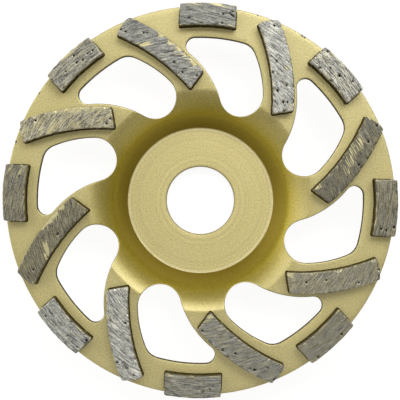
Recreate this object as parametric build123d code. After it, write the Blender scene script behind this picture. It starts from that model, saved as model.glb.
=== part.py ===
from build123d import *
from math import atan2, cos, degrees, radians, sin, tan
import os

# Diamond cup grinding wheel, 125 mm, for an angle grinder: a formed steel cup with eight curved
# windows, and sixteen sintered diamond segments brazed to its flange, in eight equal sectors.
#
# Millimetres and degrees. The origin is on the bore's axis at the hub's back face. +Z points out of
# the working face, and +Y runs through the middle of short segment 1. A bearing is an angle from +Y,
# clockwise as seen from the working face.

# Pattern
sector_count = 8
sector_angle = 360 / sector_count

# Flange, from its rim in to the crease where the recess begins
flange_radius = 62.1
flange_width = 26.3
wall_thickness = 3.2
rim_chamfer = 0.3
back_crease_fillet = 4.0
crease_radius = flange_radius - flange_width

# Recess: a crowned slope down from the crease to a knee, then a steep wall to the flat floor
recess_side_width = 12.0
recess_depth = 12.0
slope_crown = 0.35
knee_fillet = 3.0
wall_angle = 62.0
wall_rise = 7.15
floor_radius = crease_radius - recess_side_width

# Hub and bore
bore_radius = 11.115
bore_chamfer = 0.4
hub_thickness = 5.0
hub_back_fillet = 2.0
flange_face = hub_thickness + recess_depth

# Windows: a round inner end, two bowed sides and an outer edge that leaves a rim of even width
rim_width = 9.9
window_end_radius = 7.0
window_end_offset = 0.6
window_end_bearing = 18.76
leading_join_bearing = 251.6
leading_corner_bearing = -13.76
leading_corner_radius = 2.9
trailing_join_bearing = 86.97
trailing_corner_bearing = 15.87
trailing_corner_radius = 5.5
window_outer_radius = flange_radius - rim_width

# Segments
segment_height = 5.0
segment_width = 7.0
segment_corner_chamfer = 0.3
segment_overhang = 0.4
segment_outer_radius = flange_radius + segment_overhang

short_length = 18.0

long_bow = 1.75
long_end_bulge = 0.5
long_outer_bearing = -29.42
long_outer_setback = 3.86
long_inner_bearing = -7.48
long_inner_overhang = 0.47


def at_bearing(radius, bearing):
    """Point in plan at a radius and a bearing."""
    return Vector(radius * sin(radians(bearing)), radius * cos(radians(bearing)))


def arc_about(centre, start, end):
    """Shorter arc about a centre from one point to another."""
    middle = ((start - centre) + (end - centre)).normalized() * (start - centre).length
    return ThreePointArc(start, centre + middle, end)


def back_normal(angle):
    """Unit normal behind a line of the section that rises outwards at an angle."""
    return Vector(sin(radians(angle)), -cos(radians(angle)))


def behind(corner, first_angle, second_angle):
    """Corner on the back of the wall, opposite a front corner between two lines of known angle."""
    first = back_normal(first_angle)
    second = back_normal(second_angle)
    return corner + (first + second) * (wall_thickness / (1 + first.dot(second)))


def cup_blank():
    """The cup turned about Z, before its windows are cut."""
    floor_corner = Vector(floor_radius, hub_thickness)
    knee = floor_corner + Vector(wall_rise / tan(radians(wall_angle)), wall_rise)
    crease = Vector(crease_radius, flange_face)
    slope_angle = degrees(atan2(crease.Y - knee.Y, crease.X - knee.X))

    back_knee = behind(knee, wall_angle, slope_angle)
    back_crease = behind(crease, slope_angle, 0)
    wall_foot = floor_radius - hub_thickness / tan(radians(wall_angle))
    back_corner = Vector(wall_foot + wall_thickness / sin(radians(wall_angle)), 0)

    bore_back = Vector(bore_radius, 0)
    bore_front = Vector(bore_radius, hub_thickness)
    rim_front = Vector(flange_radius, flange_face)
    rim_back = Vector(flange_radius, flange_face - wall_thickness)

    with BuildPart() as blank:
        with BuildSketch(Plane.XZ) as section:
            with BuildLine():
                Polyline(bore_back, bore_front, floor_corner, knee)
                SagittaArc(knee, crease, slope_crown)
                Polyline(crease, rim_front, rim_back, back_crease, back_knee, back_corner, bore_back)
            make_face()
            rounded = (
                (knee, knee_fillet),
                (back_knee, knee_fillet + wall_thickness),
                (back_crease, back_crease_fillet),
                (back_corner, hub_back_fillet),
            )
            for corner, radius in rounded:
                fillet(section.vertices().sort_by_distance(corner)[0], radius)
            bevelled = (
                (bore_back, bore_chamfer),
                (bore_front, bore_chamfer),
                (rim_front, rim_chamfer),
                (rim_back, rim_chamfer),
            )
            for corner, length in bevelled:
                chamfer(section.vertices().sort_by_distance(corner)[0], length)
        revolve(axis=Axis.Z)
    return blank.part


def window_outline():
    """Plan of the window of sector 1: each side leaves the round inner end along its tangent."""
    end_centre = at_bearing(crease_radius + window_end_offset, window_end_bearing)

    leading_join = end_centre + at_bearing(window_end_radius, leading_join_bearing)
    leading_heading = at_bearing(1, leading_join_bearing + 90)
    leading_corner = at_bearing(window_outer_radius, leading_corner_bearing)

    trailing_join = end_centre + at_bearing(window_end_radius, trailing_join_bearing)
    trailing_heading = at_bearing(1, trailing_join_bearing - 90)
    trailing_corner = at_bearing(window_outer_radius, trailing_corner_bearing)

    with BuildSketch() as window:
        with BuildLine():
            arc_about(end_centre, trailing_join, leading_join)
            TangentArc(leading_join, leading_corner, tangent=leading_heading)
            arc_about(Vector(0, 0), leading_corner, trailing_corner)
            TangentArc(trailing_join, trailing_corner, tangent=trailing_heading)
        make_face()
        fillet(window.vertices().sort_by_distance(leading_corner)[0], leading_corner_radius)
        fillet(window.vertices().sort_by_distance(trailing_corner)[0], trailing_corner_radius)
    return window.sketch


def cup_body():
    """The steel cup with its ring of windows."""
    cutter = extrude(window_outline(), amount=flange_face)
    cup = cup_blank()
    for sector in range(sector_count):
        cup -= cutter.rotate(Axis.Z, -sector * sector_angle)
    return cup


def segment_from(plan):
    """Segment of the common height that stands on the flange on a plan outline."""
    return extrude(plan.moved(Location((0, 0, flange_face))), amount=segment_height)


def short_segment():
    """Short segment along the rim: concentric arcs between parallel ends."""
    with BuildSketch() as plan:
        Circle(segment_outer_radius)
        Circle(segment_outer_radius - segment_width, mode=Mode.SUBTRACT)
        Rectangle(
            short_length,
            2 * segment_outer_radius,
            align=(Align.CENTER, Align.MIN),
            mode=Mode.INTERSECT,
        )
        chamfer(plan.vertices(), segment_corner_chamfer)
    return segment_from(plan.sketch)


def long_segment():
    """Long bowed segment from the rim in to the crease, with its outer end slightly full."""
    outer = at_bearing(segment_outer_radius - long_outer_setback, long_outer_bearing)
    inner = at_bearing(crease_radius - long_inner_overhang, long_inner_bearing)
    along = (inner - outer).normalized()
    across = Vector(-along.Y, along.X)
    far_outer = outer + across * segment_width
    far_inner = inner + across * segment_width
    bow = across * long_bow
    bulge = along * long_end_bulge

    with BuildSketch() as plan:
        with BuildLine():
            ThreePointArc(outer, (outer + inner) / 2 + bow, inner)
            Line(inner, far_inner)
            ThreePointArc(far_inner, (far_inner + far_outer) / 2 + bow, far_outer)
            ThreePointArc(far_outer, (far_outer + outer) / 2 - bulge, outer)
        make_face()
        chamfer(plan.vertices(), segment_corner_chamfer)
    return segment_from(plan.sketch)


os.makedirs("parts", exist_ok=True)
export_step(cup_body(), "parts/cup_body.step")
for name, first in (("short_segment", short_segment()), ("long_segment", long_segment())):
    for sector in range(sector_count):
        segment = first.rotate(Axis.Z, -sector * sector_angle)
        export_step(segment, f"parts/{name}_{sector + 1}.step")
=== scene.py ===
import bmesh
import bpy
import numpy as np
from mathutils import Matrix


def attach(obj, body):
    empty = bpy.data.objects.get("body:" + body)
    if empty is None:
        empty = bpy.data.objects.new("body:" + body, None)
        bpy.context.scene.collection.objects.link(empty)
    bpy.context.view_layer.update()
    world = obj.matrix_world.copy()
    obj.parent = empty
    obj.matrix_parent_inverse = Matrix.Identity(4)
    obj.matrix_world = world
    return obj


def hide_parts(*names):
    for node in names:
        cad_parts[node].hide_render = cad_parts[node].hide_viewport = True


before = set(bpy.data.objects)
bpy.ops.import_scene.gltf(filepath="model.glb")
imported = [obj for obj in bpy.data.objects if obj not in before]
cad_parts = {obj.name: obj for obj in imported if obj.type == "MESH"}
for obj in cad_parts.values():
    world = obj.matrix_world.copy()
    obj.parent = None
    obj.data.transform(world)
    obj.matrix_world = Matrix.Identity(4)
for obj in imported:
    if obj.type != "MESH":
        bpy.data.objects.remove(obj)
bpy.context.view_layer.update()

# Diamond cup wheel lying on its hub, seen straight from its working side. Lengths here are in
# millimetres, and a mesh is turned to metres when it is made. A bearing is an angle in degrees from
# +Y, clockwise as seen from the working side.
MM = 0.001
SECTOR = 45.0
SECTORS = 8

# Cup section
rim_radius = 62.1
crease_radius = 35.5
floor_radius = 23.8
bore_radius = 11.115
hub_thickness = 5.0
flange_face = 17.0
wall = 3.2
wall_angle = np.radians(62.0)
wall_rise = 7.15
bend_radius = 29.9
crease_steepness = 0.28
edge_round = 0.3
bore_round = 0.45
floor_round = 0.35
knee_round = 9.0
crease_round = 3.0
back_corner_round = 2.0
back_knee_round = 6.2
back_crease_round = 4.0

# Windows. The centre of the round inner end has a radius and a bearing
window_outer_radius = 52.2
window_end_radius = 7.0
window_end_place = (36.4, 18.76)
# Leading and trailing side of a window: bearing at which it leaves the round end, turn from there to
# the way it heads, bearing of its outer corner and that corner's radius
window_sides = (
    (251.6, 90, -13.76, 2.9),
    (86.97, -90, 15.87, 5.5),
)

# Lacquer on the cup: radii between which painted shade deepens its colour in the recess, and between which
# painted light and shade lie about the knee
recess_shade_edge = 38.0
recess_shade_full = 28.4
knee_light_edge = 33.0
knee_light_peak = 28.8
wall_shade_foot = 26.9
# Chips at the rim: bearing, radius and size
rim_chips = (
    (29.4, 61.9, 0.45), (30.2, 61.8, 0.4), (14.8, 61.9, 0.3), (-58.7, 61.8, 0.28), (-74.7, 61.8, 0.35),
)

# Radii of the cut edges: the windows lie between the first two, and the bore within the third
cut_start = 28.8
cut_end = 58.0
bore_reach = 12.0

# Segments
segment_top = 22.0
segment_width = 7.0
short_length = 18.0
segment_outer_radius = 62.5
segment_height = segment_top - flange_face
long_bow = 1.75
long_end_bulge = 0.5
# Radius and bearing of the two ends of a long segment's side nearer the axis
long_outer_place = (segment_outer_radius - 3.86, -29.42)
long_inner_place = (35.33, -7.48)
worn_edge = 0.25
plan_corner = 0.4
top_spacing = 0.21
pit_depth = 0.3
chip_depth = 0.5
chip_spacing = 2.5
# Depth below the top at which the braze starts, and the radius at which it ends, after fading out
braze_drop = 4.5
braze_edge = 61.6
braze_fade = 0.8
# Radius up to which the flange is flat
flange_reach = 61.7
# Grinding lines: radius at which they have their true length, shift from sector to sector, and one
# unit of their map
lines_radius = 50.0
lines_shift = 40.0
lines_unit = 10.0

# Fineness of the meshes
web_rows = 56
web_columns = 25
window_columns = 43
round_rows = 5
longest_run = 1.6
weld_distance = 0.002


# Plane geometry

def polar(radius, bearing):
    """Points in plan: x is the radius times the sine of the bearing, y the radius times its cosine."""
    angle = np.radians(bearing)
    return np.stack([radius * np.sin(angle), radius * np.cos(angle)], axis=-1)


def bearing_of(points):
    """Bearing of points in plan."""
    return np.degrees(np.arctan2(points[..., 0], points[..., 1]))


def unit(vectors):
    """Vectors scaled to length one."""
    return vectors / np.linalg.norm(vectors, axis=-1, keepdims=True)


def arc(centre, start, end, count):
    """Points along the shorter arc about a centre: both radii weighted by the sines of their shares."""
    first = start - centre
    last = end - centre
    sweep = np.arccos(np.clip(unit(first) @ unit(last), -1, 1))
    share = np.linspace(0, 1, count)[:, None]
    return centre + (np.sin((1 - share) * sweep) * first + np.sin(share * sweep) * last) / np.sin(sweep)


def rounded(corners, radii):
    """Line through corners with each corner of a given radius replaced by the arc tangent to both sides.
    The arc starts the radius over the tangent of half the inner angle away from its corner."""
    line = [corners[:1]]
    for before, corner, after, radius in zip(corners, corners[1:], corners[2:], radii):
        if radius == 0:
            line.append(corner[None])
            continue
        back = unit(before - corner)
        ahead = unit(after - corner)
        half = np.arccos(back @ ahead) / 2
        centre = corner + unit(back + ahead) * radius / np.sin(half)
        reach = radius / np.tan(half)
        line.append(arc(centre, corner + back * reach, corner + ahead * reach, 7))
    return np.concatenate(line + [corners[-1:]])


def refined(line, longest):
    """Line with points added in step so that no run is longer than a length."""
    runs = np.linalg.norm(np.diff(line, axis=0), axis=1)
    place = np.concatenate([[0], np.cumsum(runs)])
    parts = np.maximum(1, np.ceil(runs / longest)).astype(int)
    fine = np.concatenate([np.linspace(a, b, n, endpoint=False) for a, b, n in zip(place, place[1:], parts)])
    fine = np.append(fine, place[-1])
    return np.stack([np.interp(fine, place, line[:, 0]), np.interp(fine, place, line[:, 1])], axis=1)


# Meshes

def grid_faces(rows, columns, first=0, loop=False):
    """Four-sided faces between the neighbours of a grid of rows times columns, closed round if looped."""
    across = np.arange(columns if loop else columns - 1)
    row = np.arange(rows - 1)[:, None] * columns
    beside = (across + 1) % columns
    return first + np.stack(
        [row + across, row + beside, row + columns + beside, row + columns + across], axis=-1
    ).reshape(-1, 4)


def piece(name, points, quads, foot=None):
    """Closed smooth piece in metres with its faces turned outwards. With a foot, whose vertices close
    it below, its vertices are kept as they are. Without one, its patches are welded."""
    mesh = bpy.data.meshes.new(name)
    faces = quads.tolist() + ([] if foot is None else [foot.tolist()])
    mesh.from_pydata((points * MM).tolist(), [], faces)
    build = bmesh.new()
    build.from_mesh(mesh)
    if foot is None:
        bmesh.ops.remove_doubles(build, verts=build.verts, dist=weld_distance * MM)
    bmesh.ops.recalc_face_normals(build, faces=build.faces)
    build.to_mesh(mesh)
    build.free()
    mesh.polygons.foreach_set("use_smooth", np.ones(len(mesh.polygons), bool))
    thing = bpy.data.objects.new(name, mesh)
    bpy.context.scene.collection.objects.link(thing)
    return thing


def give_values(thing, **series):
    """Gives a piece's vertices values under names, each a number for all or one for each vertex."""
    for name, values in series.items():
        values = np.broadcast_to(np.asarray(values, np.float32), len(thing.data.vertices))
        layer = thing.data.attributes.new(name, "FLOAT", "POINT")
        layer.data.foreach_set("value", values.copy())


def vertex_rows(thing, kind):
    """Places or normals of a piece's vertices, one row for each."""
    values = np.empty(len(thing.data.vertices) * 3, np.float32)
    thing.data.vertices.foreach_get(kind, values)
    return values.reshape(-1, 3)


# Cup

def cup_section():
    """Front and back lines of the cup's section from mid bore to mid rim, radius against height.
    The back line lies one wall behind the front one. The slope is straight up to the bend radius, and
    from there its steepness falls evenly as far as the crease."""
    floor_corner = np.array([floor_radius, hub_thickness])
    knee = floor_corner + [wall_rise / np.tan(wall_angle), wall_rise]
    crease = np.array([crease_radius, flange_face])
    rise = crease - knee
    slope_angle = np.arctan2(rise[1], rise[0])
    bend = crease_radius - bend_radius
    steepness = (rise[1] - crease_steepness * bend / 2) / (rise[0] - bend / 2)
    past = np.linspace(0, bend, 14)[:-1]
    fall = (steepness - crease_steepness) * past**2 / (2 * bend)
    height = knee[1] + steepness * (bend_radius + past - knee[0]) - fall
    slope = np.column_stack([bend_radius + past, height])

    def behind(corner, first, second):
        """The corner behind a front corner, where the lines one wall behind its two sides meet."""
        normals = np.array([[np.sin(first), -np.cos(first)], [np.sin(second), -np.cos(second)]])
        return corner + normals.sum(axis=0) * wall / (1 + normals[0] @ normals[1])

    wall_foot = floor_radius - hub_thickness / np.tan(wall_angle)
    back_corner = [wall_foot + wall / np.sin(wall_angle), 0]
    front = rounded(
        np.array([
            [bore_radius, hub_thickness / 2], [bore_radius, hub_thickness], floor_corner, knee, *slope,
            crease, [rim_radius, flange_face], [rim_radius, flange_face - wall / 2],
        ]),
        [bore_round, floor_round, knee_round] + [0] * len(slope) + [crease_round, edge_round],
    )
    back = rounded(
        np.array([
            [bore_radius, hub_thickness / 2], [bore_radius, 0], back_corner,
            behind(knee, wall_angle, slope_angle), behind(crease, slope_angle, 0),
            [rim_radius, flange_face - wall], [rim_radius, flange_face - wall / 2],
        ]),
        [floor_round, back_corner_round, back_knee_round, back_crease_round, edge_round],
    )
    return front, back


def window_edge():
    """Leading and trailing half of the first window, each from its innermost point out to the outer
    arc, as points and their normals into the metal. A side is the arc that leaves the round end along
    its tangent, and an outer corner is the circle tangent to that arc and to the outer arc."""
    end_centre = polar(*window_end_place)
    innermost = end_centre - unit(end_centre) * window_end_radius
    halves = []
    for join_bearing, turn, corner_bearing, corner_radius in window_sides:
        join = end_centre + polar(window_end_radius, join_bearing)
        heading = polar(1.0, join_bearing + turn)
        corner = polar(window_outer_radius, corner_bearing)
        sideways = np.array([-heading[1], heading[0]])
        chord = corner - join
        radius = chord @ chord / (2 * chord @ sideways)
        centre = join + sideways * radius
        radius = abs(radius)
        outside = np.sign(np.linalg.norm(end_centre - centre) - radius)
        # Corner circle: a known distance from the wheel's axis and from the side's centre
        from_axis = window_outer_radius - corner_radius
        from_side = radius + outside * corner_radius
        span = np.linalg.norm(centre)
        along = (from_axis**2 - from_side**2 + span**2) / (2 * span)
        aside = np.sqrt(from_axis**2 - along**2)
        base = unit(centre) * along
        across = np.array([-centre[1], centre[0]]) / span * aside
        choices = np.stack([base + across, base - across])
        middle = choices[np.argmin(np.linalg.norm(choices - corner, axis=1))]
        leaves = centre + unit(middle - centre) * radius
        meets = unit(middle) * window_outer_radius
        pieces = [
            (arc(end_centre, innermost, join, 900), end_centre, 1),
            (arc(centre, join, leaves, 1500), centre, -outside),
            (arc(middle, leaves, meets, 900), middle, 1),
        ]
        points = np.concatenate([line for line, _, _ in pieces])
        normals = np.concatenate([side * unit(line - about) for line, about, side in pieces])
        halves.append((points, normals))
    return halves


front_line, back_line = cup_section()


def front_height(radius):
    """Height of the cup's front at a radius."""
    return np.interp(radius, front_line[:, 0], front_line[:, 1])


def back_height(radius):
    """Height of the cup's back at a radius."""
    return np.interp(radius, back_line[:, 0], back_line[:, 1])


def cup_shell():
    """The cup as welded grids: the hub and the rim turned about Z, the webs between the windows, front
    and back, in rows of equal radius, and a band carried round each window."""
    halves = window_edge()
    inset = [points + edge_round * normals for points, normals in halves]
    inner = np.linalg.norm(inset[0][0])
    outer = window_outer_radius + edge_round
    # Rows closer together at both ends, and one at each point of the crease's arc
    share = (1 - np.cos(np.linspace(0, np.pi, web_rows))) / 2
    crease_rows = front_line[np.abs(front_line[:, 0] - crease_radius) < 0.42, 0]
    rows = np.sort(np.concatenate([inner + (outer - inner) * share, crease_rows]))

    sides = []
    for (points, normals), line in zip(halves, inset):
        place = np.interp(rows, np.linalg.norm(line, axis=1), np.arange(len(line)))
        steps = np.arange(len(line))
        sides.append([
            np.stack([np.interp(place, steps, values[:, axis]) for axis in (0, 1)], axis=1)
            for values in (points, normals)
        ])
    (leading, leading_normal), (trailing, trailing_normal) = sides

    leading_bearing = bearing_of(leading + edge_round * leading_normal)
    trailing_bearing = bearing_of(trailing + edge_round * trailing_normal)
    web_share = np.linspace(0, 1, web_columns)
    web = trailing_bearing[:, None] + web_share * (leading_bearing + SECTOR - trailing_bearing)[:, None]
    window_share = np.linspace(0, 1, window_columns)
    arc_bearing = leading_bearing[-1] + window_share * (trailing_bearing[-1] - leading_bearing[-1])

    grids = []
    turns = np.arange(SECTORS) * SECTOR

    def turned(radius, height, bearings, loop):
        """A line of radius and height carried round through bearings."""
        radius = np.broadcast_to(radius[:, None], (len(radius), bearings.shape[-1]))
        height = np.broadcast_to(height[:, None], radius.shape)
        plan = polar(radius, np.broadcast_to(bearings, radius.shape))
        grids.append((np.dstack([plan, height]), loop))

    # Hub, from the first row of the webs in through the bore and back out
    ring = (web[0][:-1] + turns[:, None]).ravel()
    front = front_line[front_line[:, 0] < inner][::-1]
    back = back_line[back_line[:, 0] < inner]
    start = [[inner, front_height(inner)]]
    end = [[inner, back_height(inner)]]
    line = refined(np.concatenate([start, front, back[1:], end]), longest_run)
    turned(line[:, 0], line[:, 1], ring, True)

    # Rim, from the last row of the webs out round the edge and back in
    ring = (np.concatenate([web[-1][:-1], arc_bearing[:-1] + SECTOR]) + turns[:, None]).ravel()
    front = front_line[front_line[:, 0] > outer]
    back = back_line[back_line[:, 0] > outer][::-1]
    start = [[outer, front_height(outer)]]
    end = [[outer, back_height(outer)]]
    line = refined(np.concatenate([start, front, back[1:], end]), longest_run)
    turned(line[:, 0], line[:, 1], ring, True)

    # Webs
    for heights in (front_height(rows), back_height(rows)):
        for turn in turns:
            turned(rows, heights, web + turn, False)

    # Bands round the windows: round the front edge, down the wall and round the back edge
    arc_normal = polar(1.0, arc_bearing[1:-1])
    outline = np.concatenate([leading, window_outer_radius * arc_normal, trailing[:0:-1]])
    normals = np.concatenate([leading_normal, arc_normal, trailing_normal[:0:-1]])
    bend = np.linspace(0, np.pi / 2, round_rows)
    offsets = edge_round * (1 - np.sin(bend))
    drops = edge_round * (1 - np.cos(bend))
    top = [(offset, front_height, -drop) for offset, drop in zip(offsets, drops)]
    bottom = [(offset, back_height, drop) for offset, drop in zip(offsets, drops)][::-1]
    for turn in turns:
        bands = []
        for offset, height, shift in top + bottom:
            plan = outline + offset * normals
            radius = np.linalg.norm(plan, axis=1)
            bands.append(np.column_stack([polar(radius, bearing_of(plan) + turn), height(radius) + shift]))
        upper, lower = bands[:len(top)], bands[len(top):]
        middle = [upper[-1] * (1 - part) + lower[0] * part for part in (0.33, 0.67)]
        grids.append((np.stack(upper + middle + lower), True))

    points, faces, count = [], [], 0
    for grid, loop in grids:
        faces.append(grid_faces(grid.shape[0], grid.shape[1], count, loop))
        points.append(grid.reshape(-1, 3))
        count += grid.shape[0] * grid.shape[1]
    return piece("cup_shell", np.concatenate(points), np.concatenate(faces))


# Segments

def value_noise(across, along, cell_across, cell_along, seed):
    """Smooth noise from -1 to 1: random values at the corners of cells of a given size, blended by
    the smoothstep of the place in the cell."""
    cells = 64
    table = np.random.default_rng(seed).uniform(-1, 1, (cells, cells))
    # Moved on far enough for all places to be above zero
    u = across / cell_across + 1000.5
    v = along / cell_along + 1000.5
    column, row = np.floor(u).astype(int), np.floor(v).astype(int)
    u, v = u - column, v - row
    u, v = u * u * (3 - 2 * u), v * v * (3 - 2 * v)
    column, row = column % cells, row % cells
    right, up = (column + 1) % cells, (row + 1) % cells
    lower = table[column, row] * (1 - u) + table[right, row] * u
    upper = table[column, up] * (1 - u) + table[right, up] * u
    return lower * (1 - v) + upper * v


def short_plan(place):
    """Short segment: x runs between parallel ends, and y is on the circle of its own radius."""
    x = place[..., 0] - short_length / 2
    radius = segment_outer_radius - segment_width + place[..., 1]
    return np.stack([x, np.sqrt(radius**2 - x**2)], axis=-1)


long_outer = polar(*long_outer_place)
long_inner = polar(*long_inner_place)
long_length = np.linalg.norm(long_inner - long_outer)


def long_plan(place):
    """Long segment: a shallow circular bow over the chord, with the outer end bulged along it."""
    along = unit(long_inner - long_outer)
    across = np.array([-along[1], along[0]])
    full = 1 - (2 * place[..., 1] / segment_width - 1) ** 2
    reach = place[..., 0] - long_end_bulge * full * (1 - place[..., 0] / long_length)
    radius = (long_length**2 / 4 + long_bow**2) / (2 * long_bow)
    bow = np.sqrt(radius**2 - (reach - long_length / 2) ** 2) - (radius - long_bow)
    return long_outer + reach[..., None] * along + (place[..., 1] + bow)[..., None] * across


def grinding_lines(plan, sector, tilt):
    """Coordinates in millimetres along and across the grinding lines: the bearing as a length at the
    lines' radius, and the radius, turned a little by the tilt and moved on from sector to sector."""
    radius = np.linalg.norm(plan, axis=-1)
    run = np.radians(bearing_of(plan)) * lines_radius
    c, s = np.cos(np.radians(tilt)), np.sin(np.radians(tilt))
    return np.stack([run * c - radius * s + lines_shift * sector, run * s + radius * c], axis=-1)


def ragged_outline(place, size, seed):
    """Places with each side of a segment moved in by noise along it, less and less up to 1 mm inside.
    The outer end of a long segment is the most ragged."""
    moved = place.copy()
    for axis in (0, 1):
        other = place[..., 1 - axis]
        for end, way in ((0, 1), (size[axis], -1)):
            near = np.clip(1 - np.abs(place[..., axis] - end), 0, 1)
            at_end = np.full(other.shape, end)
            coarse = value_noise(other, at_end, 1.3, 1.0, seed + 70 + axis)
            fine = value_noise(other, at_end, 0.5, 1.0, seed + 80)
            most_ragged = axis == 0 and end == 0 and size[0] > short_length
            depth = 0.34 if most_ragged else 0.16
            moved[..., axis] += way * near * depth * np.clip(0.35 + (0.6 * coarse + 0.4 * fine), 0, 1)
    return moved


def top_grid(size):
    """Grid of places over a segment's top, as far as its worn edges, with the grid's corners pulled in
    onto the rounded corners of the plan."""
    counts = np.ceil((size - 2 * worn_edge) / top_spacing).astype(int)
    a = np.linspace(worn_edge, size[0] - worn_edge, counts[0] + 1)
    b = np.linspace(worn_edge, size[1] - worn_edge, counts[1] + 1)
    place = np.stack(np.meshgrid(a, b, indexing="ij"), axis=-1)
    core = np.clip(place, plan_corner, size - plan_corner)
    spread = place - core
    far = np.linalg.norm(spread, axis=-1, keepdims=True)
    return core + spread * np.minimum(1, (plan_corner - worn_edge) / np.maximum(far, 1e-9))


def ground_top(place, lines, size, pit_places, seed):
    """Relief of a top, below its full height, and the pits and chips in it: the sum of long noise along
    the grinding lines, round pits at given places and chips at random places of the border."""
    length, width = size
    random = np.random.default_rng(seed)
    relief = 0.03 * value_noise(lines[..., 0], lines[..., 1], 7.0, 0.8, seed)
    relief += 0.025 * value_noise(lines[..., 0], lines[..., 1], 5.0, 0.42, seed + 50)
    pits = np.zeros(relief.shape)
    for spot in pit_places:
        reach = random.uniform(0.24, 0.36)
        distance = np.linalg.norm((place - spot) / [1.25, 1.0], axis=-1)
        pits = np.maximum(pits, random.uniform(0.7, 1) * np.exp(-((distance / reach) ** 2)))
    chips = np.zeros(relief.shape)
    for _ in range(int(length / chip_spacing)):
        # A place along the border: up one side and one end, or back down the others
        turn = random.uniform(0, 2 * (length + width))
        spot = [min(turn, length), np.clip(turn - length, 0, width)]
        if turn > length + width:
            turn -= length + width
            spot = [length - min(turn, length), width - np.clip(turn - length, 0, width)]
        distance = np.linalg.norm(place - spot, axis=-1)
        chip = random.uniform(0.2, 1) * np.exp(-((distance / random.uniform(0.3, 0.6)) ** 2))
        chips = np.maximum(chips, chip)
    relief = np.minimum(relief - 0.06, 0.0) - pit_depth * pits - chip_depth * chips
    return relief, pits, chips


def skirt(place, relief, size, plan_of, seed):
    """Vertices round the border of a top, and the rows of places and heights that go from there round
    the worn edge, down the sides and out over the braze."""
    index = np.arange(relief.size).reshape(relief.shape)
    border = np.concatenate([index[:-1, 0], index[-1, :-1], index[:0:-1, -1], index[0, :0:-1]])
    edge = place.reshape(-1, 2)[border]
    edge_relief = relief.reshape(-1)[border]
    centre = np.clip(edge, plan_corner, size - plan_corner)
    outwards = unit(edge - centre)
    plan = plan_of(edge)
    ragged = 0.06 * np.abs(value_noise(plan[:, 0], plan[:, 1], 1.1, 1.1, seed + 90))
    on_flange = np.clip((braze_edge - np.linalg.norm(plan, axis=1)) / braze_fade, 0, 1)
    # Each row has an inset from the side, a drop below the top, and a flare outwards over the braze
    bend = np.linspace(0, np.pi / 2, round_rows)[1:]
    rows = [(worn_edge * (1 - np.sin(t)), worn_edge * (1 - np.cos(t)), 0.0) for t in bend]
    rows += [(0.0, drop, 0.0) for drop in (1.2, 2.4, 3.6, 4.3)]
    rows += [(0.0, 4.65, 0.08), (0.0, 4.88, 0.22), (0.0, 5.15, 0.4)]
    walls, levels = [], []
    for inset, drop, flare in rows:
        side = plan_corner - inset - ragged * (1.0 < drop < braze_drop) + flare * on_flange
        wall_place = centre + outwards * side[:, None]
        level = segment_top - drop + edge_relief * max(0, 1 - drop / 1.2)
        if drop > braze_drop:
            # On the braze, heights are above the flange, and the last row is sunk into it
            radius = np.linalg.norm(plan_of(wall_place), axis=1)
            ground = front_height(np.minimum(radius, flange_reach))
            sunk = 0.15 * on_flange * (drop > segment_height)
            level = ground + np.maximum(segment_height - drop, 0) - sunk
        walls.append(wall_place)
        levels.append(level)
    return border, walls, levels


def lacquer_reach(place, height, size, heading, spots):
    """Reach of the lacquer: full on the sides, some along the worn edge, and spots where it is left on
    top. A spot is an ellipse whose long axis has a heading."""
    gap = np.minimum(place, size - place).min(axis=1)
    reach = np.clip((segment_top - 0.2 - height) / 0.3, 0, 1)
    reach = np.maximum(reach, 0.4 * np.clip(1 - gap / 0.9, 0, 1))
    for along, across, half_long, half_wide, strength in spots:
        offset = place - [along, across]
        run = offset @ heading
        rise = offset @ [-heading[1], heading[0]]
        distance = (run / half_long) ** 2 + (rise / half_wide) ** 2
        reach = np.maximum(reach, strength * np.exp(-distance))
    return reach


def segment(name, node, plan_of, length, sector, seed, finish):
    """One segment: a ground top on a grid, and a skirt with the worn edges, the sides and a foot of
    braze. Its outline is drawn in a little by noise. It is worked out in the first sector and turned
    into its own. Each noise has its own number after the seed."""
    tone, contrast, warmth, tilt, pit_places, paint_spots = finish
    size = np.array([length, segment_width])
    top = top_grid(size)
    lines = grinding_lines(plan_of(top), sector, tilt)
    relief, pits, chips = ground_top(top, lines, size, pit_places, seed)
    border, walls, levels = skirt(top, relief, size, plan_of, seed)
    place = np.concatenate([top.reshape(-1, 2)] + walls)
    height = np.concatenate([segment_top + relief.reshape(-1)] + levels)
    plan = plan_of(ragged_outline(place, size, seed))
    standing = polar(np.linalg.norm(plan, axis=1), bearing_of(plan) + SECTOR * sector)

    # Faces of the top, from its border to the skirt's first row, and of the skirt
    count = len(border)
    step = np.arange(count)
    first_row = relief.size + step
    joining = np.stack([border, np.roll(border, -1), np.roll(first_row, -1), first_row], axis=1)
    faces = np.concatenate([
        grid_faces(*relief.shape), joining, grid_faces(len(walls), count, relief.size, True),
    ])
    foot = relief.size + (len(walls) - 1) * count + step
    thing = piece(name, np.column_stack([standing, height]), faces, foot)

    # The grinding lines' own direction in the middle of the segment
    here, ahead, aside = grinding_lines(plan_of(size / 2 + [[0, 0], [1, 0], [0, 1]]), sector, tilt)[:, 1]
    heading = unit(np.array([aside - here, here - ahead]))
    # Pits and chips, whose hollows the material paints dark as shade
    hollow_shade = np.maximum(pits, 0.8 * chips).ravel()
    give_values(
        thing,
        paint_reach=lacquer_reach(place, height, size, heading, paint_spots),
        pit=np.concatenate([hollow_shade, np.zeros(len(height) - len(hollow_shade))]),
        side=np.clip((segment_top - 0.35 - height) / 0.8, 0, 1),
        tone=tone, contrast=contrast, warmth=warmth,
    )

    lines = grinding_lines(plan, sector, tilt) / lines_unit
    corners = np.empty(len(thing.data.loops), np.int32)
    thing.data.loops.foreach_get("vertex_index", corners)
    layer = thing.data.uv_layers.new(name="grinding_lines")
    layer.data.foreach_set("uv", lines[corners].astype(np.float32).ravel())
    thing.data.materials.append(ground_segment)
    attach(thing, "root")
    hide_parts(node)
    return thing


# Materials

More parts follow.
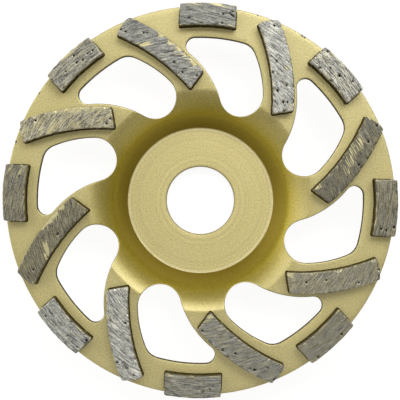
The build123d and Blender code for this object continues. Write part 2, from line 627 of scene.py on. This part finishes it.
# Noise runs mostly between these two values
noise_range = (0.3, 0.7)


def colour(code):
    """Linear colour of an sRGB hex value."""
    srgb = np.array([int(code[i:i + 2], 16) for i in (0, 2, 4)]) / 255
    linear = np.where(srgb <= 0.04045, srgb / 12.92, ((srgb + 0.055) / 1.055) ** 2.4)
    return (*linear.tolist(), 1.0)


def per(size):
    """Texture scale in Object coordinates for features of a size in millimetres."""
    return 1 / (size * MM)


def add(material, kind, inputs=None, **settings):
    """Adds a node with its settings, and gives each input a value or a link."""
    tree = material.node_tree
    node = tree.nodes.new("ShaderNode" + kind)
    for name, value in settings.items():
        setattr(node, name, value)
    for key, value in (inputs or {}).items():
        if isinstance(value, bpy.types.NodeSocket):
            tree.links.new(value, node.inputs[key])
        else:
            node.inputs[key].default_value = value
    return node


def new_material(name):
    """Empty node material and its output node."""
    material = bpy.data.materials.new(name)
    material.use_nodes = True
    material.node_tree.nodes.clear()
    return material, add(material, "OutputMaterial")


def vertex_value(material, name):
    """Value that the mesh gives each vertex under a name."""
    return add(material, "Attribute", attribute_name=name).outputs["Fac"]


def noise(material, place, size, detail):
    """Noise with features of a size in millimetres."""
    return add(material, "TexNoise", {"Vector": place, "Scale": per(size), "Detail": detail}).outputs[0]


def maths(material, operation, *values, clamp=False):
    """Result of a sum on two or three values."""
    return add(material, "Math", dict(enumerate(values)), operation=operation, use_clamp=clamp).outputs[0]


def ramp(material, value, low, high, at_low=0.0, at_high=1.0, clamp=True):
    """Value carried from the range low to high over to the range at_low to at_high."""
    return add(material, "MapRange", {
        "Value": value, "From Min": low, "From Max": high, "To Min": at_low, "To Max": at_high,
    }, clamp=clamp).outputs[0]


def fade(material, share, first, second):
    """Value that goes from the first to the second with a share."""
    return add(material, "Mix", {0: share, 2: first, 3: second}).outputs[0]


def blend(material, share, first, second):
    """Colour that goes from the first to the second with a share."""
    return add(material, "Mix", {0: share, 6: first, 7: second}, data_type="RGBA").outputs[2]


def scaled(material, tone, factor):
    """Colour times a factor."""
    return add(material, "VectorMath", {0: tone, "Scale": factor}, operation="SCALE").outputs[0]


def gold_metallic_lacquer():
    """Gold lacquer with metal flakes, sprayed on formed steel and baked: a satin metal sheen under a
    soft clear coat, a fine grain of flakes and a faint orange peel."""
    material, output = new_material("gold_metallic_lacquer")
    place = add(material, "TexCoord").outputs["Object"]
    # Flakes are about 0.05 mm, drawn here at 0.5 mm so that their grain shows
    grain = noise(material, place, 0.5, 2.0)
    cloud = noise(material, place, 9.0, 3.0)
    peel = noise(material, place, 1.4, 1.0)

    split = add(material, "SeparateXYZ", {0: place})
    flat = add(material, "CombineXYZ", {0: split.outputs[0], 1: split.outputs[1]}).outputs[0]
    radius = add(material, "VectorMath", {0: flat}, operation="LENGTH").outputs["Value"]

    def ring(start, end, at_start=0.0, at_end=1.0):
        """Value that changes between two radii in millimetres and keeps its end values past them."""
        return ramp(material, radius, start * MM, end * MM, at_start, at_end)

    # Turning marks on the hub: fine rings about the axis, 0.9 mm apart
    rings = add(material, "TexNoise", {"W": radius, "Scale": per(0.9), "Detail": 2.0}, noise_dimensions="1D")
    on_hub = ring(floor_radius + 0.2, floor_radius)
    marks = maths(material, "MULTIPLY", rings.outputs[0], on_hub)

    gold = blend(material, cloud, colour("D6C988"), colour("D0C27C"))
    grain_shade = ramp(material, grain, *noise_range, 0.84, 1.14, clamp=False)
    ring_shade = ramp(material, marks, *noise_range, 1.12, 1.26)
    shade = maths(material, "MULTIPLY", grain_shade, ring_shade)

    # Painted shade: down in the recess the lacquer is drawn darker and deeper in colour, for the shade there
    off_hub = maths(material, "SUBTRACT", 1.0, on_hub)
    off_hub = maths(material, "MULTIPLY", off_hub, vertex_value(material, "front"))
    recess_shade = maths(material, "MULTIPLY", ring(recess_shade_edge, recess_shade_full), off_hub)
    gold = blend(material, recess_shade, gold, colour("B09E34"))

    # Painted light over the knee of the recess, and painted shade on the wall below it
    knee = ring(wall_shade_foot, knee_light_peak, -0.8, 1.0)
    knee = maths(material, "MULTIPLY", knee, ring(knee_light_edge, knee_light_peak))
    knee = maths(material, "MULTIPLY", knee, off_hub)
    knee = maths(material, "MULTIPLY_ADD", knee, 0.16, 1.0)
    shade = maths(material, "MULTIPLY", shade, knee)

    # Painted shade in the corner at the foot of the recess wall
    corner = maths(material, "MULTIPLY", ring(floor_radius + 3.6, floor_radius + 0.3), off_hub)
    corner = maths(material, "MULTIPLY", corner, 0.7)
    gold = blend(material, corner, gold, colour("8C780A"))

    # Painted highlight along the hub's lip
    lip_highlight = ring(floor_radius - 0.9, floor_radius - 0.5, 0.0, 0.25)
    lip_highlight = maths(material, "MULTIPLY", lip_highlight, on_hub)
    gold = blend(material, lip_highlight, gold, colour("FFF6CC"))

    # Small chips in the lacquer at the rim, with the dark primer under it
    chipped = 0.0
    for bearing, from_axis, size in rim_chips:
        centre = (*(polar(from_axis, bearing) * MM).tolist(), flange_face * MM)
        away = add(material, "VectorMath", {0: place, 1: centre}, operation="DISTANCE").outputs["Value"]
        away = maths(material, "MULTIPLY_ADD", grain, -0.5 * MM, away)
        chip = ramp(material, away, (size - 0.15) * MM, (size - 0.35) * MM)
        chipped = maths(material, "MAXIMUM", chip, chipped)
    gold = blend(material, chipped, gold, colour("3F3626"))

    # On the cut edges the lacquer is dull, and its colour is painted dark as shade
    edge = vertex_value(material, "cut_edge")
    gold = blend(material, edge, gold, colour("3C3416"))
    rough = fade(material, edge, ramp(material, grain, *noise_range, 0.4, 0.46), 0.9)
    gloss = maths(material, "SUBTRACT", 1.0, edge)
    metallic = maths(material, "MULTIPLY", gloss, 0.6)

    # The clear coat shows on the raised parts and little down in the recess, where the shade is painted
    coat = maths(material, "MULTIPLY", recess_shade, recess_shade)
    coat = maths(material, "MULTIPLY_ADD", coat, -0.9, 1.0)
    coat = maths(material, "MULTIPLY", coat, gloss)

    relief = maths(material, "MULTIPLY_ADD", peel, 0.6, grain)
    relief = maths(material, "MULTIPLY_ADD", marks, 0.3, relief)
    bump = add(material, "Bump", {"Height": relief, "Strength": 0.5, "Distance": 0.05 * MM}).outputs[0]
    shader = add(material, "BsdfPrincipled", {
        "Base Color": scaled(material, gold, shade), "Metallic": metallic, "Roughness": rough,
        "Normal": bump, "Coat Weight": coat, "Coat Roughness": 0.34, "Coat IOR": 1.7,
    })
    material.node_tree.links.new(shader.outputs[0], output.inputs[0])
    return material


def sintered_metal_ground_flat():
    """Sintered iron and bronze with diamond grit, ground flat on top: steel grey, warmer where the
    bronze shows, drawn into fine lines along the grinding direction, with pits, specks of grit and
    lacquer left at the edges."""
    material, output = new_material("sintered_metal_ground_flat")
    place = add(material, "TexCoord").outputs["Object"]
    lines = add(material, "UVMap", uv_map="grinding_lines").outputs[0]

    def streaks(long, wide, detail):
        """Noise stretched along the grinding lines, of a length and width in millimetres."""
        scale = (lines_unit / long, lines_unit / wide, 1)
        stretched = add(material, "Mapping", {"Vector": lines, "Scale": scale}).outputs[0]
        return add(material, "TexNoise", {"Vector": stretched, "Scale": 1.0, "Detail": detail}).outputs[0]

    # Grinding lines and grit, spread about their middle by each segment's contrast, which is in part painted
    # light and shade
    broad = streaks(5.0, 0.9, 2.0)
    fine = streaks(3.2, 0.34, 2.0)
    sharp = streaks(3.6, 0.28, 1.0)
    grit = noise(material, place, 0.45, 1.0)
    mixed = maths(material, "MULTIPLY_ADD", broad, 0.5, fine)
    mixed = maths(material, "MULTIPLY_ADD", grit, 0.5, mixed)
    level = maths(material, "SUBTRACT", ramp(material, mixed, 0.74, 1.26), 0.5)
    spread = vertex_value(material, "contrast")
    level = maths(material, "MULTIPLY_ADD", level, spread, 0.5, clamp=True)

    # The sides aren't ground: their skin keeps the mottled grain of the mould
    side = vertex_value(material, "side")
    mottle = ramp(material, noise(material, place, 0.9, 3.0), *noise_range, -0.2, 0.5)
    level = fade(material, side, level, mottle)

    # Steel and bronze, each from dark to light along the lines
    steel = blend(material, level, colour("5A5B59"), colour("CACAC1"))
    bronze = blend(material, level, colour("534C37"), colour("B9B08A"))
    share = ramp(material, broad, 0.35, 0.65, -0.25, 0.25)
    # Each segment's warmth and brightness are in part painted light and shade, for how its lines catch the
    # lamps
    share = maths(material, "ADD", vertex_value(material, "warmth"), share, clamp=True)
    metal = blend(material, share, steel, bronze)
    metal = scaled(material, metal, vertex_value(material, "tone"))

    # Pits and chips of the mesh, painted dark as shade in their hollows, and between them specks of
    # grit 0.3 mm across, dark of their own, about one in every 3 mm
    cells = add(material, "TexVoronoi", {"Vector": place, "Scale": per(2.6)}).outputs["Distance"]
    speck = ramp(material, cells, 0.08, 0.05)
    pit = ramp(material, vertex_value(material, "pit"), 0.2, 0.5)
    pit = maths(material, "MULTIPLY_ADD", speck, 0.5, pit, clamp=True)
    metal = blend(material, pit, metal, colour("25211C"))

    # Deep scratches: the darkest tenth of the sharp lines
    scratch = maths(material, "MULTIPLY", ramp(material, sharp, 0.36, 0.3), 0.8)
    metal = blend(material, scratch, metal, colour("3E3C38"))

    # Lacquer is left where its reach, broken by the grinding lines, is over a half. On the sides it
    # is broken by patches instead, and its colour there is painted dark as shade
    broken = ramp(material, streaks(4.0, 0.4, 1.0), *noise_range, -0.85, 0.42)
    broken = maths(material, "ADD", vertex_value(material, "paint_reach"), broken)
    patches = ramp(material, noise(material, place, 2.2, 3.0), *noise_range, 0.25, 1.5)
    broken = fade(material, side, broken, patches)
    paint = ramp(material, broken, 0.46, 0.56)
    gold = blend(material, noise(material, place, 0.5, 2.0), colour("CFC48C"), colour("F0E8BC"))
    # Painted shade: the lacquer on the sides is drawn dark
    gold = blend(material, side, gold, colour("4C4220"))
    tone = blend(material, paint, metal, gold)

    rough = ramp(material, level, 0.0, 1.0, 0.55, 0.38)
    relief = maths(material, "MULTIPLY_ADD", pit, -0.3, mixed)
    relief = maths(material, "MULTIPLY_ADD", paint, 0.5, relief)
    bump = add(material, "Bump", {"Height": relief, "Strength": 0.6, "Distance": 0.06 * MM}).outputs[0]
    along = add(material, "Tangent", direction_type="UV_MAP", uv_map="grinding_lines").outputs[0]
    shader = add(material, "BsdfPrincipled", {
        "Base Color": tone, "Metallic": 0.9, "Roughness": rough, "Normal": bump,
        "Anisotropic": 0.5, "Anisotropic Rotation": 0.25, "Tangent": along,
    })
    material.node_tree.links.new(shader.outputs[0], output.inputs[0])
    return material


def white_paper():
    """White paper sweep under the wheel: it reads white to the camera and in reflections, and a
    small matt share of it keeps the wheel's shadow."""
    material, output = new_material("white_paper")
    rays = add(material, "LightPath").outputs
    seen = maths(material, "MAXIMUM", rays["Is Camera Ray"], rays["Is Glossy Ray"])
    seen = maths(material, "MAXIMUM", seen, rays["Is Transmission Ray"])
    place = add(material, "TexCoord").outputs["Object"]
    tone = blend(material, noise(material, place, 3.0, 3.0), colour("7C7C7C"), colour("808080"))
    matt = add(material, "BsdfDiffuse", {"Color": tone}).outputs[0]
    glow = add(material, "Emission", {"Color": colour("FFFFFF"), "Strength": 0.9}).outputs[0]
    both = add(material, "AddShader", {0: matt, 1: glow}).outputs[0]
    shown = add(material, "MixShader", {0: seen, 1: matt, 2: both}).outputs[0]
    material.node_tree.links.new(shown, output.inputs[0])
    return material


gold_lacquer = gold_metallic_lacquer()
ground_segment = sintered_metal_ground_flat()

# The cup, with values for its lacquer. Steep parts count as cut edges, which get painted shade: fully in
# the windows, less at the rim and by half in the bore. Front is where the surface looks up, towards the
# working side
cup = cup_shell()
from_axis = np.linalg.norm(vertex_rows(cup, "co")[:, :2], axis=1) / MM
upright = vertex_rows(cup, "normal")[:, 2]
steep = np.clip((0.7 - np.abs(upright)) / 0.3, 0, 1)
cut = np.where((from_axis > cut_start) & (from_axis < cut_end), steep, 0)
cut = np.where(from_axis > cut_end, 0.3 * steep, cut)
cut = np.where(from_axis < bore_reach, 0.45 * np.clip((0.99 - np.abs(upright)) / 0.2, 0, 1), cut)
give_values(cup, cut_edge=cut, front=np.clip(upright / 0.2, 0, 1))
cup.data.materials.append(gold_lacquer)
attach(cup, "root")
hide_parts("cup_body")

# Finish of each segment's top: brightness, contrast of its grinding lines and warmth, which are in part
# painted light and shade for how its lines catch the lamps, tilt of the lines in degrees, places of its
# pits (along, across), and lacquer left on it (along, across, half length, half width, strength)
finishes = {
    "long_1": (
        0.96, 1.0, 0.0, 4.0,
        [(0.6, 2.2), (2.3, 2.2), (7.1, 4.4), (7.9, 4.9), (20.1, 2.3), (24.0, 1.8), (28.2, 4.4)],
        [
            (9.2, 1.2, 2.2, 0.8, 1.5), (11.8, 6.8, 1.3, 1.2, 1.4), (15.5, 7.1, 1.5, 1.7, 1.35),
            (18.5, 7.1, 1.9, 1.7, 1.35), (21.5, 7.1, 2.0, 1.7, 1.35), (25.0, 7.1, 1.7, 1.9, 1.4),
        ],
    ),
    "long_2": (
        1.27, 1.05, 0.0, 11.0,
        [(1.9, 4.8), (13.0, 2.4), (20.8, 4.7), (22.0, 1.6), (25.8, 3.3), (26.1, 4.8), (16.0, 0.6)],
        [(14.0, 7.0, 0.8, 3.0, 0.75), (27.0, 6.6, 0.8, 1.5, 0.7)],
    ),
    "long_3": (
        0.76, 0.8, 0.6, -10.0,
        [(0.8, 4.6), (6.5, 4.3), (14.0, 5.6)],
        [
            (8.5, 2.2, 2.6, 2.4, 0.62), (12.5, 2.2, 2.8, 2.2, 0.68), (16.5, 3.0, 2.6, 2.2, 0.58),
            (27.5, 0.5, 0.6, 1.3, 1.2),
        ],
    ),
    "long_4": (
        1.37, 0.78, 0.6, 4.0,
        [(7.2, 5.6), (17.2, 2.8), (23.4, 3.1), (0.5, 5.6), (0.4, 3.8)],
        [(28.2, 1.0, 0.9, 1.0, 1.1)],
    ),
    "long_5": (
        1.08, 0.75, 0.3, -3.0,
        [(4.4, 2.9), (7.3, 5.4), (8.6, 5.9), (15.2, 4.3), (19.0, 5.9), (27.6, 6.0), (0.4, 5.4)],
        [(28.3, 1.4, 1.6, 0.8, 1.2)],
    ),
    "long_6": (
        1.6, 1.15, 0.0, 9.0,
        [(1.5, 2.6), (4.2, 3.9), (6.1, 6.2), (17.8, 1.1)],
        [(20.0, 7.0, 0.7, 2.0, 0.8)],
    ),
    "long_7": (
        0.96, 1.0, 0.7, -2.0,
        [(17.2, 1.9), (4.0, 2.4)],
        [
            (11.4, 1.8, 2.4, 0.8, 1.4), (9.6, 0.9, 1.2, 0.6, 1.2), (16.5, 7.1, 1.2, 1.4, 1.7),
            (19.0, 7.1, 1.6, 1.5, 1.8), (21.5, 7.1, 1.7, 1.5, 1.8), (24.5, 7.1, 1.1, 1.6, 1.7),
        ],
    ),
    "long_8": (
        1.64, 1.2, 0.7, 9.0,
        [(28.2, 3.1), (26.9, 1.4), (5.2, 5.4)],
        [
            (9.8, 1.6, 2.8, 1.0, 1.4), (12.0, 7.0, 1.5, 1.2, 1.5), (15.5, 7.1, 2.2, 1.6, 1.4),
            (18.5, 7.1, 2.6, 1.6, 1.35), (21.5, 7.1, 2.4, 1.6, 1.35), (24.5, 7.1, 1.8, 1.7, 1.4),
            (27.5, 6.8, 0.9, 1.0, 1.2),
        ],
    ),
    "short_1": (
        0.82, 0.85, 0.0, 12.0,
        [(3.0, 2.2), (13.8, 3.8), (13.6, 0.9), (16.7, 4.9), (16.0, 4.2), (16.5, 3.8), (17.0, 3.5)],
        [(5.0, 6.9, 3.0, 0.8, 0.9), (11.0, 6.9, 3.5, 0.9, 1.0)],
    ),
    "short_2": (
        1.22, 1.32, 0.25, 1.0,
        [(1.8, 6.3), (6.1, 3.0), (14.0, 5.5), (3.8, 0.9), (9.8, 3.4)],
        [(3.5, 6.9, 2.0, 0.6, 0.8)],
    ),
    "short_3": (1.12, 0.95, 0.6, 5.0, [(15.0, 6.2), (16.1, 3.9), (15.7, 2.3)], []),
    "short_4": (1.12, 0.52, 0.5, 3.0, [(15.2, 6.2), (4.8, 5.9)], []),
    "short_5": (1.04, 0.94, 0.3, 3.0, [(5.8, 4.9), (3.6, 4.3)], [(16.5, 0.6, 1.2, 0.6, 0.9)]),
    "short_6": (1.34, 1.25, 0.0, -1.0, [(1.3, 4.9), (5.9, 4.4), (15.1, 5.4), (0.8, 1.4)], []),
    "short_7": (
        1.01, 1.0, 0.6, 15.0,
        [(14.2, 2.2)],
        [(15.8, 2.0, 1.6, 0.4, 0.8), (16.6, 5.6, 1.6, 0.4, 0.8)],
    ),
    "short_8": (
        1.29, 1.2, 0.4, 2.0,
        [(10.5, 5.2), (5.3, 3.3), (9.8, 2.9), (11.8, 2.3), (14.2, 2.9), (16.0, 2.7)],
        [(8.0, 6.9, 4.0, 0.9, 1.0), (13.0, 6.9, 2.5, 0.8, 0.9)],
    ),
}

# Plan, length and first seed of each kind of segment
for number in range(SECTORS):
    for kind, plan_of, length, seed in (
        ("short", short_plan, short_length, 11),
        ("long", long_plan, long_length, 31),
    ):
        segment(
            f"{kind}_ground_segment_{number + 1}", f"{kind}_segment_{number + 1}", plan_of, length,
            number, seed + number, finishes[f"{kind}_{number + 1}"],
        )


# Floor, light and camera

floor = bpy.data.objects.new("paper_floor", bpy.data.meshes.new("paper_floor"))
floor.data.from_pydata([(-2, -2, 0), (2, -2, 0), (2, 2, 0), (-2, 2, 0)], [], [(0, 1, 2, 3)])
floor.data.materials.append(white_paper())
bpy.context.scene.collection.objects.link(floor)


def softbox(name, bearing, from_zenith, size, power):
    """Square lamp at a bearing and an angle from straight up, 1 m away and facing the wheel."""
    lamp = bpy.data.lights.new(name, "AREA")
    lamp.shape = "SQUARE"
    lamp.size = size
    lamp.energy = power
    thing = bpy.data.objects.new(name, lamp)
    tilt, turn = np.radians(from_zenith), np.radians(bearing)
    thing.location = (np.sin(tilt) * np.sin(turn), np.sin(tilt) * np.cos(turn), np.cos(tilt))
    thing.rotation_euler = (-tilt, 0, -turn)
    bpy.context.scene.collection.objects.link(thing)


# Bearing and angle from straight up in degrees, size in metres and power in watts
softbox("key_softbox", 12, 31, 0.5, 3.0)
softbox("right_softbox", 52, 38, 0.45, 1.55)
softbox("left_softbox", 300, 42, 0.6, 1.9)
softbox("low_left_softbox", 278, 68, 0.7, 2.2)
softbox("front_left_softbox", 222, 66, 0.8, 0.8)
softbox("front_right_softbox", 142, 66, 0.8, 0.95)
softbox("overhead_softbox", 180, 10, 0.5, 0.62)

world = bpy.data.worlds.new("studio")
world.use_nodes = True
background = world.node_tree.nodes["Background"]
background.inputs["Color"].default_value = colour("FFF1D2")
background.inputs["Strength"].default_value = 0.07
bpy.context.scene.world = world
bpy.context.scene.view_settings.view_transform = "Standard"

# Straight above the wheel, and turned and shifted a little as in the photo
camera_height = 0.422
camera_turn = 2.36
camera = bpy.data.cameras.new("camera")
camera.lens = 114.16
camera.sensor_width = 36
camera.shift_x = -0.001
camera.shift_y = 0.001
camera.clip_start = 0.01
viewer = bpy.data.objects.new("camera", camera)
viewer.location = (0, 0, camera_height)
viewer.rotation_euler = (0, 0, np.radians(camera_turn))
bpy.context.scene.collection.objects.link(viewer)
bpy.context.scene.camera = viewer
